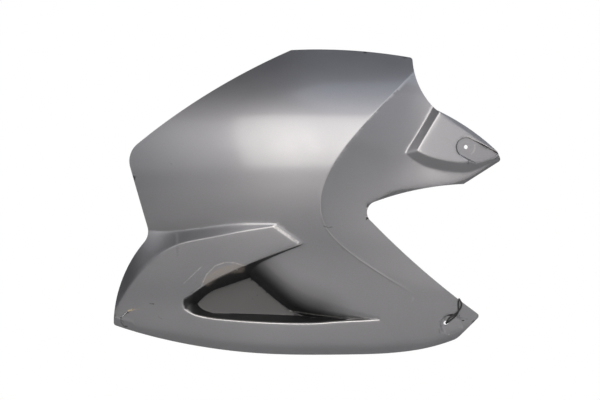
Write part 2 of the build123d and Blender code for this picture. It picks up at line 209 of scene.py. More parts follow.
# Sharp edges lightened by worn paint and by a painted highlight: how sharp an edge is over a step, and where
# the lightening fades
RUB_GLINT_STEP = 1.1
RUB_GLINT_SHARPNESS = (0.04, 0.25)
RUB_GLINT_SPAN = (-540, -430)
RUB_GLINT_BY_SEAT = 0.15
RUB_GLINT_SEAT_REACH = 1.3

# Painted shade where the recess hides the light: the pocket's walls, less on its floor, and the bottom of the
# scoop
LIP_CLEAR = 1.2
LIP_FADE = 2.5
WALL_FADE = (6, 2)
POCKET_SPAN = (-118, -135)
FLOOR_SHARE = 0.88
FLOOR_FADE = (0.5, 2.5)
SCOOP_DARK = (-34.0, 34.0)
SCOOP_DARK_SPAN = (-150, -230)

# Chips, stains and scratches, and a few painted highlights and shadows: a line or a point, half its width,
# its colour and its strength
MARK_FEATHER = 0.6
MARKS = (
    (((-519.7, -253.7), (-530.7, -260.4), (-539.6, -268.2), (-538.9, -275.9), (-534.1, -281.5),
      (-529.6, -281.5)), 0.9, "#0f0e0e", 1.0),
    (((-532.3, -281.6),), 1.6, "#171616", 1.0),
    (((-527, -256.2), (-520, -254.2)), 1.5, "#b9a98c", 0.9),
    (((-520.2, -254.2),), 1.0, "#5a4636", 0.9),
    (((-518, -254.2), (-511.5, -254.0)), 1.0, "#94866e", 0.6),
    (((-492.9, -244.6), (-486.7, -245.2)), 0.9, "#2b2826", 0.85),
    (((-479, -265.8), (-474, -269)), 0.5, "#57534f", 0.6),
    (((-546.5, -252.6),), 2.2, "#5b4a3c", 0.6),
    (((-510.7, -68.2),), 1.2, "#2a2a2c", 0.8),
    (((-457.2, -26.3),), 1.6, "#5e5e62", 0.5),
    (((-438.6, -212.3), (-410.7, -186)), 0.5, "#c4c4c6", 0.4),
    # Painted shade of a small dent at the left end of the fin
    (((-448.7, -134.8), (-448.2, -167.4)), 2.4, "#5c5c60", 0.3),
    (((-402, -210), (-388, -198), (-368, -190), (-350, -189)), 8.5, "#857c74", 0.8),
    (((-410.7, -215.4), (-403, -198.4), (-389, -184.4), (-373.5, -179), (-358, -179.8), (-346.4, -183.8),
      (-341, -183.8)), 0.7, "#b9b5b0", 0.7),
    (((-355, -190.7),), 0.9, "#efece6", 0.95),
    # Painted highlight along the end of the fin
    (((-297.6, -122.5), (-260.8, -148)), 2.6, "#e2e0de", 0.55),
    # Painted highlight on the thin line where the scoop meets the pocket's lower wall
    (((-272.8, -255.8), (-229.4, -262), (-193.8, -265.8), (-136.4, -267)), 0.5, "#cfcdcb", 0.6),
    (((-324, -231.7),), 1.0, "#161617", 0.9),
    (((-331.7, -237.2),), 0.8, "#161617", 0.9),
    (((-368.5, -212.6), (-366, -213.4)), 1.6, "#2c2c2e", 0.6),
    (((-37.2, 14), (-28, 12.5), (-21, 5), (-18.6, -1.6)), 1.3, "#858287", 0.45),
    (((13.6, 3), (13.9, -2), (12, -7), (9, -10.7)), 1.3, "#b9b5b4", 0.35),
    (((-220, -122.5), (-214, -125), (-207.7, -124)), 0.6, "#333335", 0.75),
    (((-40.3, -283.7), (-38.8, -289.9)), 0.7, "#4c4c50", 0.6),
    # Painted highlight on the lower edge of the lower seat
    (((-24.8, -292.3),), 1.1, "#c8c8ca", 0.7),
    # Painted shade along the upper edge of the lower seat
    (((-9.3, -265), (3.9, -268)), 0.5, "#56565a", 0.6),
)

# Strands of the tie: place along, place up, and how far off the face
TIE_RADIUS = 1.25
TIE_STRANDS = (
    ((-29.2, -273.6, -6), (-28.6, -272.6, 0), (-25.7, -267.2, 1.5), (-20, -262.7, 1.6),
     (-12.4, -258.6, 1.6), (-8.5, -253.4, 3.4), (-4.9, -246, 1.6), (-6.6, -240, 1.6), (-8.8, -237, 1.8),
     (-9.4, -236.2, -3)),
    ((-28.6, -275.2, -6), (-27.9, -274, 0), (-24, -271, 1.5), (-16, -265, 1.6), (-10.9, -258.9, 3.8),
     (-9.9, -253.4, 1.6), (-11.2, -246.6, 1.6), (-10.6, -240.4, 1.6), (-9.6, -237.6, 1.8),
     (-9.4, -236.6, -3)),
)

# Longest edges of the shell's mesh, on a grid seen from the front
GRID = 2.0
GRID_ALONG = (-566, 70)
GRID_UP = (-336, 166)
PLAIN_EDGE = 7.0
BACK_EDGE = 18.0
TURN_SEEN = 0.12
TURN_LEAST = 0.01
TURN_EDGE = (0.55, 1.7, 4.5)
POCKET_EDGE = (0.5, 1.6, 6.0)
POCKET_ALONG = (-455, -120)
POCKET_UP = (-285, -140)
SEAT_EDGE = 1.5
SEAT_EDGE_REACH = 24.0
CREASE_EDGE = 1.5
CREASE_EDGE_REACH = 3.5
MARK_EDGE = 1.2
MARK_EDGE_REACH = 2.0
FRONT_DEPTH = 2.0
SPLIT_ROUNDS = 10

# How a face of the solid is told to be an outer one: how near it lies to the outer face, and its turn outward
MERGE = 0.01
SLOPE_STEP = 0.4
FACE_NEAR = 8.0
CRACK_CORNER = (-515, -248)
CRACK_NEAR = 0.3
WALL_NEAR = 2.0
WALL_FACING = -0.1
OUTER_FACING = 0.3
UPPER_SEAT_AREA = 22.0
UPPER_SEAT_NEAR = 6.0
UPPER_SEAT_FACING = 0.5
UPPER_SEAT_FRONT = 2.5
UPPER_SEAT_BACK = 1.5
RIM_NEAR = 1.0
RIM_FACING = 0.05
FARTHEST_BACK = 40.0
SHARP_ANGLE = 38.0

# Camera: the width that the photograph's frame covers, its middle, and a long lens
PICTURE_WIDTH = 930.0
PICTURE_MIDDLE = Vector((-257.3, 0.0, -82.15)) * MM
LENS = 300.0
SENSOR = 36.0


def law(stations):
    """One size against another: a natural cubic through the stations, straight beyond them."""
    at, value = np.array(sorted(stations), dtype=float).T
    gap = np.diff(at)
    slope = np.diff(value) / gap
    count = len(at)
    system = np.eye(count)
    right = np.zeros(count)
    for i in range(1, count - 1):
        system[i, i - 1:i + 2] = gap[i - 1], 2 * (gap[i - 1] + gap[i]), gap[i]
        right[i] = 6 * (slope[i] - slope[i - 1])
    bend = np.linalg.solve(system, right)
    first = slope[0] - gap[0] * bend[1] / 6
    last = slope[-1] + gap[-1] * bend[-2] / 6

    def value_at(t):
        inside = np.clip(t, at[0], at[-1])
        i = np.clip(np.searchsorted(at, inside) - 1, 0, count - 2)
        above = at[i + 1] - inside
        below = inside - at[i]
        cubic = (bend[i] * above**3 + bend[i + 1] * below**3) / (6 * gap[i])
        low = (value[i] / gap[i] - bend[i] * gap[i] / 6) * above
        high = (value[i + 1] / gap[i] - bend[i + 1] * gap[i] / 6) * below
        return cubic + low + high + first * np.minimum(t - at[0], 0) + last * np.maximum(t - at[-1], 0)

    return value_at


crown_up = law(CROWN_FALL_UP)
crown_along = law(CROWN_FALL_ALONG)
crease = law(CREASE_LINE)
rear_slope = law(REAR_SLOPE)
rear_ease = law(REAR_EASE)
arm_ease = law(ARM_EASE)
scoop_line = law(SCOOP_LINE)
scoop_radius = law(SCOOP_RADIUS)
body_up = law(BODY_FALL_UP)
body_along = law(BODY_FALL_ALONG)
brow = law(BROW_LINE)
brow_slope = law(BROW_SLOPE)
keel = law(KEEL_LINE)
arm_edge = law(ARM_EDGE)


def lower_of(a, b, soft):
    return (a + b) / 2 - np.hypot((a - b) / 2, soft)


def upper_of(a, b, soft):
    return (a + b) / 2 + np.hypot((a - b) / 2, soft)


def share(value, start, end):
    """0 at the start, 1 at the end, eased between them."""
    t = np.clip((value - start) / (end - start), 0, 1)
    return t * t * (3 - 2 * t)


def tan_of(degrees):
    return math.tan(math.radians(degrees))


def closed_curve(points, steps):
    """A smooth ring through points, as straight pieces."""
    ring = np.array(points, dtype=float)
    before, after, next_after = np.roll(ring, 1, 0), np.roll(ring, -1, 0), np.roll(ring, -2, 0)
    pieces = []
    for t in np.linspace(0, 1, steps, endpoint=False):
        pieces.append(
            ring + (after - before) * t / 2 + (2 * before - 5 * ring + 4 * after - next_after) * t**2 / 2
            + (3 * ring - before - 3 * after + next_after) * t**3 / 2
        )
    return np.stack(pieces, axis=1).reshape(-1, 2)


solid_vent_ring = closed_curve(VENT_LINE, VENT_CURVE_STEPS)
shown_vent_ring = closed_curve(SHOWN_VENT_LINE, VENT_CURVE_STEPS)


def ring_distance(x, z, ring):
    """Distance outside the vent's ring, negative inside it. Far from the ring it is only large."""
    away = np.full(x.shape, VENT_FAR)
    near = (x > VENT_SURROUND_ALONG[0]) & (x < VENT_SURROUND_ALONG[1])
    near &= (z > VENT_SURROUND_UP[0]) & (z < VENT_SURROUND_UP[1])
    x, z = x[near], z[near]
    nearest = np.full(x.shape, np.inf)
    inside = np.zeros(x.shape, dtype=bool)
    for (sx, sz), (ax, az) in zip(ring, np.roll(ring, -1, 0) - ring):
        dx, dz = x - sx, z - sz
        t = np.clip((dx * ax + dz * az) / (ax * ax + az * az), 0, 1)
        nearest = np.minimum(nearest, (dx - t * ax)**2 + (dz - t * az)**2)
        if az:
            inside ^= ((sz > z) != (sz + az > z)) & (dx < ax * dz / az)
    away[near] = np.where(inside, -1, 1) * np.sqrt(nearest)
    return away


def crown_stand(x, z):
    return CROWN_STAND + crown_up(z) + crown_along(x)


def rear_stand(x, z):
    line = crease(z)
    run = x - line
    bend = np.where(run < REAR_RUN, run**2 / 2, REAR_RUN * run - REAR_RUN**2 / 2)
    along_arm = x - ARM_START
    turned = arm_ease(z) * (np.hypot(along_arm, ARM_BLEND) + along_arm) / 2
    return crown_stand(line, z) - rear_slope(z) * run + rear_ease(z) * bend + turned + CREASE_LIFT


def scoop_stand(x, z):
    """Below its line the crown rolls in on an arc, then runs straight on. It fades out behind the vent."""
    below = scoop_line(x) - z
    radius = np.maximum(scoop_radius(x), SCOOP_LEAST_RADIUS)
    arc = radius * SCOOP_SLOPE / math.hypot(1, SCOOP_SLOPE)
    turned = np.clip(below, 0, arc)
    rolled = radius - np.sqrt(radius**2 - turned**2) + SCOOP_SLOPE * np.maximum(below - arc, 0)
    gone = SCOOP_FADE_RATE * np.maximum(x - SCOOP_FADE, 0)**2
    return crown_stand(x, z) - SCOOP_ENTRY * below - rolled + gone


def body_stand(x, z):
    return CROWN_STAND + body_up(z) + body_along(x)


def brow_stand(x, z):
    edge = brow(x)
    return body_stand(x, edge) - brow_slope(x) * (z - edge)


def fin_end_stand(x, z):
    (x0, z0), (x1, z1) = FIN_END_TOP, FIN_END_TIP
    edge = z0 + (z1 - z0) * (x - x0) / (x1 - x0)
    return body_stand(x, edge) - FIN_END_SLOPE * (z - edge)


def pocket_stand(x, z, as_solid):
    """The wall and the floor of the vent pocket."""
    away = ring_distance(x, z, solid_vent_ring if as_solid else shown_vent_ring)
    wall = VENT_STAND + away / tan_of(VENT_DRAFT)
    rise = FLOOR_RISE * (x - RAMP_FOOT)
    if as_solid:
        bow = RAMP_BOW * np.minimum(np.abs(z - RAMP_MIDDLE), RAMP_SPAN)**2
        ahead = RAMP_FOOT + bow - x
        return wall, SOLID_FLOOR + rise + RAMP_SLOPE * (ahead + np.hypot(ahead, RAMP_RADIUS)) / 2
    nose = body_stand(x, z) + (away + NOSE_INSET) / tan_of(NOSE_DRAFT)
    return wall + (nose - wall) * share(x, *NOSE_SPAN), SHOWN_FLOOR + rise


def boss_stand(x, z, as_solid):
    """The boss: sloping walls over its foot, and a flat top."""
    foot = np.array(BOSS_FOOT if as_solid else SHOWN_BOSS_FOOT, dtype=float)
    foot_stand = BOSS_FOOT_STAND if as_solid else SHOWN_BOSS_FOOT_STAND
    draft = BOSS_DRAFT if as_solid else SHOWN_BOSS_DRAFT
    yaw = BOSS_YAW if as_solid else SHOWN_BOSS_YAW
    inside = None
    for (sx, sz), (ax, az) in zip(foot, np.roll(foot, -1, 0) - foot):
        off = ((x - sx) * az - (z - sz) * ax) / math.hypot(ax, az)
        inside = off if inside is None else lower_of(inside, off, BOSS_CORNER_SOFT)
    walls = foot_stand + inside / tan_of(draft)
    top = BOSS_STAND - tan_of(yaw) * x - tan_of(BOSS_PITCH) * z
    if not as_solid:
        (x0, z0), (x1, z1) = BOSS_RIM
        in_rim = ((z0 - z) * (x1 - x0) + (x - x0) * (z1 - z0)) / math.hypot(x1 - x0, z1 - z0)
        top = lower_of(top, top - BOSS_RIM_SLOPE * (BOSS_RIM_WIDTH - in_rim), BOSS_RIM_SOFT)
    return lower_of(walls, top, BOSS_EDGE_SOFT)


def upper_seat_stand(x, z):
    dip = math.radians(UPPER_SEAT_DIP)
    run = np.clip(x * math.cos(dip) - z * math.sin(dip), 0, UPPER_SEAT_RUN)
    outside = np.hypot(x - run * math.cos(dip), z + run * math.sin(dip)) - UPPER_SEAT_RADIUS
    return -tan_of(UPPER_SEAT_YAW) * x + SEAT_WALL_SLOPE * np.maximum(outside, 0)


def lower_seat_stand(x, z):
    x0, z0 = LOWER_HOLE
    xm, zm = LOWER_SEAT_MIDDLE
    outside = np.hypot(x - xm, (z - zm) / math.cos(math.radians(LOWER_SEAT_PITCH))) - LOWER_SEAT_RADIUS
    middle = crown_stand(np.float64(x0), np.float64(z0)) - LOWER_SEAT_DEPTH
    return middle + tan_of(LOWER_SEAT_PITCH) * (z - z0) + SEAT_WALL_SLOPE * np.maximum(outside, 0)


def from_lower_seat(x, z):
    """Distance from the middle of the lower seat, in radii of it."""
    return np.hypot(x - LOWER_SEAT_MIDDLE[0], z - LOWER_SEAT_MIDDLE[1]) / LOWER_SEAT_RADIUS


def crease_distance(x, z):
    lean = (crease(z + 1) - crease(z - 1)) / 2
    return (x - crease(z)) / np.hypot(1, lean)


def crown_face(x, z):
    """Crown and rear face with the bead along their crease, and the scoop below."""
    behind_crease = (x > crease(z) - CREASE_REACH) & (z > CREASE_END)
    crown = crown_stand(x, z)
    crown = np.where(behind_crease, lower_of(crown, rear_stand(x, z), CREASE_SOFT), crown)
    bead = BEAD_HEIGHT * np.exp(-(crease_distance(x, z) / BEAD_WIDTH)**2)
    crown = crown + bead * share(z, *BEAD_LOW_SPAN) * share(z, *BEAD_HIGH_SPAN)
    return lower_of(crown, scoop_stand(x, z), SCOOP_SOFT)


def lip_soft(x, shown):
    return LIP_SOFT + shown * (NOSE_SOFT - LIP_SOFT) * share(x, *LIP_SPAN)


def body_face(x, z, as_solid):
    """Lower body with the brow above it, the end of the fin and the vent pocket."""
    shown = 0.0 if as_solid else 1.0
    edge = BROW_EDGE_SOFT + shown * BROW_FADE_SOFT * share(x, *BROW_FADE_SPAN)
    body = lower_of(body_stand(x, z), brow_stand(x, z), edge)
    body = lower_of(body, fin_end_stand(x, z), FIN_END_SOFT)
    return lower_of(body, upper_of(*pocket_stand(x, z, as_solid), FLOOR_SOFT), lip_soft(x, shown))


def roll_edges(stand, x, z, as_solid):
    """Rolls the keel and the lower edge of the upper arm inward."""
    shown = 0.0 if as_solid else 1.0
    start = keel(x) + KEEL_ROLL
    rim = np.maximum(crown_stand(x, start), body_stand(x, start)) - KEEL_ROLL_SLOPE * (start - z)
    rim = rim + shown * KEEL_FADE * (share(x, *KEEL_LEFT_SPAN) + share(x, *KEEL_RIGHT_SPAN))
    stand = lower_of(stand, rim, KEEL_SOFT + shown * KEEL_SHOWN_SOFT)
    start = arm_edge(x) + ARM_ROLL * np.clip((x - KNEE_END) / ARM_ROLL_FADE, 0, 1)
    rim = rear_stand(x, start) - ARM_ROLL_SLOPE * (start - z)
    on_arm = (x > KNEE_END + ARM_ROLL_START) & (z > ARM_ROLL_UP[0]) & (z < ARM_ROLL_UP[1])
    return np.where(on_arm, lower_of(stand, rim, ARM_SOFT), stand)


def outer_stand(x, z, as_solid=False):
    """The whole outer face, with the edges as soft as the moulding and its paint leave them."""
    soft = JOIN_SOFT + (BROW_SOFT - JOIN_SOFT) * share(x, *BROW_SPAN_ALONG) * share(z, *BROW_SPAN_UP)
    soft = soft + (TAIL_SOFT - JOIN_SOFT) * share(x, *TAIL_SPAN)
    stand = upper_of(crown_face(x, z), body_face(x, z, as_solid), soft)
    stand = roll_edges(stand, x, z, as_solid)
    near_boss = (x > BOSS_CORNER[0]) & (z > BOSS_CORNER[1])
    stand = np.where(near_boss, upper_of(stand, boss_stand(x, z, as_solid), BOSS_FOOT_SOFT), stand)
    near_upper = near_boss & (x > UPPER_SEAT_LEFT)
    stand = np.where(near_upper, lower_of(stand, upper_seat_stand(x, z), SEAT_SOFT), stand)
    near_lower = from_lower_seat(x, z) < LOWER_SEAT_REACH
    return np.where(near_lower, lower_of(stand, lower_seat_stand(x, z), SEAT_SOFT), stand)


def slopes(x, z):
    """How fast the outer face rises along and up."""
    step = SLOPE_STEP
    along = (outer_stand(x + step, z) - outer_stand(x - step, z)) / (2 * step)
    up = (outer_stand(x, z + step) - outer_stand(x, z - step)) / (2 * step)
    return along, up


def line_distance(x, z, points):
    """Distance from a line through points, or from a single point."""
    line = np.array(points, dtype=float)
    nearest = np.hypot(x - line[0, 0], z - line[0, 1])
    for (sx, sz), (ax, az) in zip(line, np.diff(line, axis=0)):
        dx, dz = x - sx, z - sz
        t = np.clip((dx * ax + dz * az) / (ax * ax + az * az), 0, 1)
        nearest = np.minimum(nearest, np.hypot(dx - t * ax, dz - t * az))
    return nearest


def rub_glint_share(x, z, stand):
    """1 on the sharp edges that stand out, lightened by worn paint and by a painted highlight."""
    around = sum(outer_stand(x + dx, z) + outer_stand(x, z + dx) for dx in (RUB_GLINT_STEP, -RUB_GLINT_STEP))
    fades = np.where(from_lower_seat(x, z) < RUB_GLINT_SEAT_REACH, RUB_GLINT_BY_SEAT, 1.0) * share(x, *RUB_GLINT_SPAN)
    return share(stand - around / 4, *RUB_GLINT_SHARPNESS) * fades


def painted_pocket_shade(x, z, stand):
    """1 where shade is painted in: the pocket's walls and the bottom of the scoop."""
    wall, floor = pocket_stand(x, z, as_solid=False)
    body = np.minimum.reduce([body_stand(x, z), brow_stand(x, z), fin_end_stand(x, z)])
    lip = LIP_CLEAR * lip_soft(x, 1.0)
    inside = share(body - stand, lip, lip + LIP_FADE) * share(wall - stand, *WALL_FADE)
    inside = inside * share(x, *POCKET_SPAN) * (1 - (1 - FLOOR_SHARE) * share(floor - wall, *FLOOR_FADE))
    in_scoop = share(scoop_line(x) - z, *SCOOP_DARK) * share(x, *SCOOP_DARK_SPAN)
    crown = np.minimum.reduce([crown_stand(x, z), scoop_stand(x, z), rear_stand(x, z)])
    return np.where(crown > np.minimum(body, np.maximum(wall, floor)), in_scoop, inside)


def linear(hex_colour):
    """An sRGB hex colour as linear RGBA."""
    parts = [int(hex_colour[i:i + 2], 16) / 255 for i in (1, 3, 5)]
    return [c / 12.92 if c <= 0.04045 else ((c + 0.055) / 1.055)**2.4 for c in parts] + [1.0]


def mark_paint(x, z):
    """Colour and cover of the chips, stains, scratches and painted highlights and shadows, each laid over the
    ones before it.
    """
    colour = np.zeros((len(x), 4))
    for points, width, hex_colour, strength in MARKS:
        cover = strength * share(line_distance(x, z, points), width + MARK_FEATHER, width / 2)
        total = cover + colour[:, 3] * (1 - cover)
        part = cover / np.maximum(total, 1e-6)
        colour[:, :3] += (np.array(linear(hex_colour)[:3]) - colour[:, :3]) * part[:, None]
        colour[:, 3] = total
    return colour


def places(bm):
    return np.array([v.co for v in bm.verts]) / MM


def split_long(bm, longest):
    """Halves the edges that are longer than their own limit, until none is."""
    for _ in range(SPLIT_ROUNDS):
        bm.verts.index_update()
        at = places(bm)
        ends = np.array([(e.verts[0].index, e.verts[1].index) for e in bm.edges])
        length = np.linalg.norm((at[ends[:, 0]] - at[ends[:, 1]])[:, ::2], axis=1)
        over = length > longest((at[ends[:, 0]] + at[ends[:, 1]]) / 2)
        if not over.any():
            break
        picked = [e for e, is_long in zip(bm.edges, over) if is_long]
        bmesh.ops.subdivide_edges(bm, edges=picked, cuts=1)
        bmesh.ops.triangulate(bm, faces=[f for f in bm.faces if len(f.verts) > 3])


def limit_map():
    """The solid's stand, its steepness and the longest edge on a grid, fine on edges that catch light."""
    along, up = np.meshgrid(np.arange(*GRID_ALONG, GRID), np.arange(*GRID_UP, GRID))
    x, z = along.ravel(), up.ravel()
    stand = outer_stand(x, z).reshape(along.shape)
    solid = outer_stand(x, z, as_solid=True).reshape(along.shape)
    turn = np.zeros(stand.shape)
    turn[:, 1:-1] = np.abs(stand[:, 2:] + stand[:, :-2] - 2 * stand[:, 1:-1])
    turn[1:-1] = np.maximum(turn[1:-1], np.abs(stand[2:] + stand[:-2] - 2 * stand[1:-1]))

    def by_turn(sag, shortest, longest):
        return np.clip(sag / np.maximum(turn, TURN_LEAST), shortest, longest)

    limit = np.where(turn > TURN_SEEN, by_turn(*TURN_EDGE), PLAIN_EDGE)
    in_pocket = (along > POCKET_ALONG[0]) & (along < POCKET_ALONG[1])
    in_pocket &= (up > POCKET_UP[0]) & (up < POCKET_UP[1])
    limit = np.where(in_pocket, by_turn(*POCKET_EDGE), limit)
    limit = np.where(np.hypot(along, up) < SEAT_EDGE_REACH, SEAT_EDGE, limit)
    by_crease = (np.abs(crease_distance(x, z)) < CREASE_EDGE_REACH).reshape(along.shape)
    limit = np.where(by_crease, CREASE_EDGE, limit)
    for points, width, _, _ in MARKS:
        by_mark = (line_distance(x, z, points) < width + MARK_EDGE_REACH).reshape(along.shape)
        limit = np.where(by_mark, MARK_EDGE, limit)
    return solid, np.hypot(1, np.hypot(*np.gradient(solid, GRID))), limit


grid_maps = limit_map()


def edge_limit(at):
    solid, steep, limit = grid_maps
    i = np.clip(np.rint((at[:, 0] - GRID_ALONG[0]) / GRID).astype(int), 0, solid.shape[1] - 1)
    k = np.clip(np.rint((at[:, 2] - GRID_UP[0]) / GRID).astype(int), 0, solid.shape[0] - 1)
    front = np.abs(at[:, 1] + solid[k, i]) < FRONT_DEPTH * steep[k, i]
    return np.where(front, limit[k, i], BACK_EDGE)


def tell_outer_faces(bm, at, solid, steep):
    """Which faces are outer ones. They and the rims take the paint, and the rest bare plastic."""
    x, y, z = at.T
    behind = y + solid
    off = np.abs(behind) / steep
    in_hole = np.zeros(len(x), dtype=bool)
    for hole_x, hole_z, radius in HOLES:
        in_hole |= np.hypot(x - hole_x, z - hole_z) < radius
    farthest = np.where((x < CRACK_CORNER[0]) & (z < CRACK_CORNER[1]), CRACK_NEAR, FACE_NEAR)
    by_seat = np.hypot(x, z) < UPPER_SEAT_AREA
    in_seat = by_seat & (behind < UPPER_SEAT_FRONT)
    behind_seat = by_seat & (behind > UPPER_SEAT_BACK)
    outer = []
    for face in bm.faces:
        index = [v.index for v in face.verts]
        of_seat = in_seat[index].all()
        near = farthest[index].max()
        if face.normal.y > WALL_FACING:
            near = min(near, UPPER_SEAT_NEAR if of_seat else WALL_NEAR)
        is_outer = face.normal.y < (UPPER_SEAT_FACING if of_seat else OUTER_FACING)
        is_outer = is_outer and off[index].max() < near
        is_outer = is_outer and not in_hole[index].all() and not behind_seat[index].any()
        is_rim = face.normal.y < RIM_FACING and off[index].min() < RIM_NEAR
        face.smooth = True
        face.material_index = 0 if is_outer or is_rim else 1
        outer.append(bool(is_outer))
    return outer


def lay_faces(bm, outer, at, stand, solid):
    """Moves both skins by what the shown face differs from the solid's, and lays the outer faces on it."""
    moved = np.where(np.abs(at[:, 1] + stand) > FARTHEST_BACK, 0, solid - stand) * MM
    for vert, move in zip(bm.verts, moved):
        vert.co.y += move
    for face, is_outer in zip(bm.faces, outer):
        if is_outer:
            for vert in face.verts:
                vert.co.y = -stand[vert.index] * MM
    bm.normal_update()


def shell_mesh():
    """The panel: a fine copy of the solid on the shown face, with its normals and paint as attributes."""
    bm = bmesh.new()
    bm.from_mesh(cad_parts["side_panel"].data)
    bmesh.ops.remove_doubles(bm, verts=bm.verts, dist=MERGE * MM)
    split_long(bm, edge_limit)
    bm.normal_update()
    bm.verts.index_update()
    at = places(bm)
    x, z = at[:, 0], at[:, 2]
    stand = outer_stand(x, z)
    solid = outer_stand(x, z, as_solid=True)
    along, up = slopes(x, z)
    steep = np.hypot(1, np.hypot(along, up))
    outer = tell_outer_faces(bm, at, solid, steep)
    lay_faces(bm, outer, at, stand, solid)
    folded = [is_outer and face.normal.y > 0 for face, is_outer in zip(bm.faces, outer)]
    outer = [is_outer for is_outer, is_folded in zip(outer, folded) if not is_folded]
    folded_faces = [face for face, is_folded in zip(bm.faces, folded) if is_folded]
    bmesh.ops.delete(bm, geom=folded_faces, context="FACES_ONLY")
    mesh = bpy.data.meshes.new("side_panel_shell")
    bm.to_mesh(mesh)
    bm.free()
    mesh.set_sharp_from_angle(angle=math.radians(SHARP_ANGLE))
    facing = np.column_stack((-along, -np.ones(len(x)), -up)) / steep[:, None]
    corner = np.zeros(len(mesh.loops), dtype=np.int32)
    mesh.loops.foreach_get("vertex_index", corner)
    mesh.normals_split_custom_set(facing[corner] * np.repeat(np.array(outer), 3)[:, None])
    # pocket holds the painted shade of the pocket and scoop; edge holds worn paint and a painted highlight on
    # sharp edges
    for name, values in (("pocket", painted_pocket_shade(x, z, stand)), ("edge", rub_glint_share(x, z, stand))):
        mesh.attributes.new(name, "FLOAT", "POINT").data.foreach_set("value", values.astype(np.float32))
    paint = mesh.attributes.new("mark", "FLOAT_COLOR", "POINT")
    paint.data.foreach_set("color", mark_paint(x, z).astype(np.float32).ravel())
    return mesh


def tie_mesh():
    """Two strands that cross between the hole and the arm's edge, round cords swept along smooth paths."""
    curve = bpy.data.curves.new("tie_strands", "CURVE")
    curve.dimensions = "3D"
    curve.bevel_depth = TIE_RADIUS * MM
    curve.bevel_resolution = 3
    curve.use_fill_caps = True
    for strand in TIE_STRANDS:
        spline = curve.splines.new("NURBS")
        spline.points.add(len(strand) - 1)
        spline.order_u = 4
        spline.use_endpoint_u = True
        for point, (x, z, lift) in zip(spline.points, strand):
            y = -outer_stand(np.array([x]), np.array([z]))[0] - lift
            point.co = (x * MM, y * MM, z * MM, 1)
    sweep = bpy.data.objects.new("tie_sweep", curve)
    bpy.context.scene.collection.objects.link(sweep)
    mesh = bpy.data.meshes.new_from_object(sweep.evaluated_get(bpy.context.evaluated_depsgraph_get()))
    bpy.data.objects.remove(sweep)
    bpy.data.curves.remove(curve)
    mesh.materials.clear()
    for face in mesh.polygons:
        face.use_smooth = True
    return mesh


def add_node(tree, kind, links=(), **values):
    """Adds a node. Values name its properties or inputs, and links pair an input with another's output."""
    node = tree.nodes.new(kind)
    for name, value in values.items():
        if name in node.bl_rna.properties:
            setattr(node, name, value)
        else:
            node.inputs[name.replace("_", " ")].default_value = value
    for name, source in links:
        tree.links.new(source, node.inputs[name])
    return node


def new_material(name):
    material = bpy.data.materials.new(name)
    material.use_nodes = True
    material.node_tree.nodes.clear()
    return material, material.node_tree


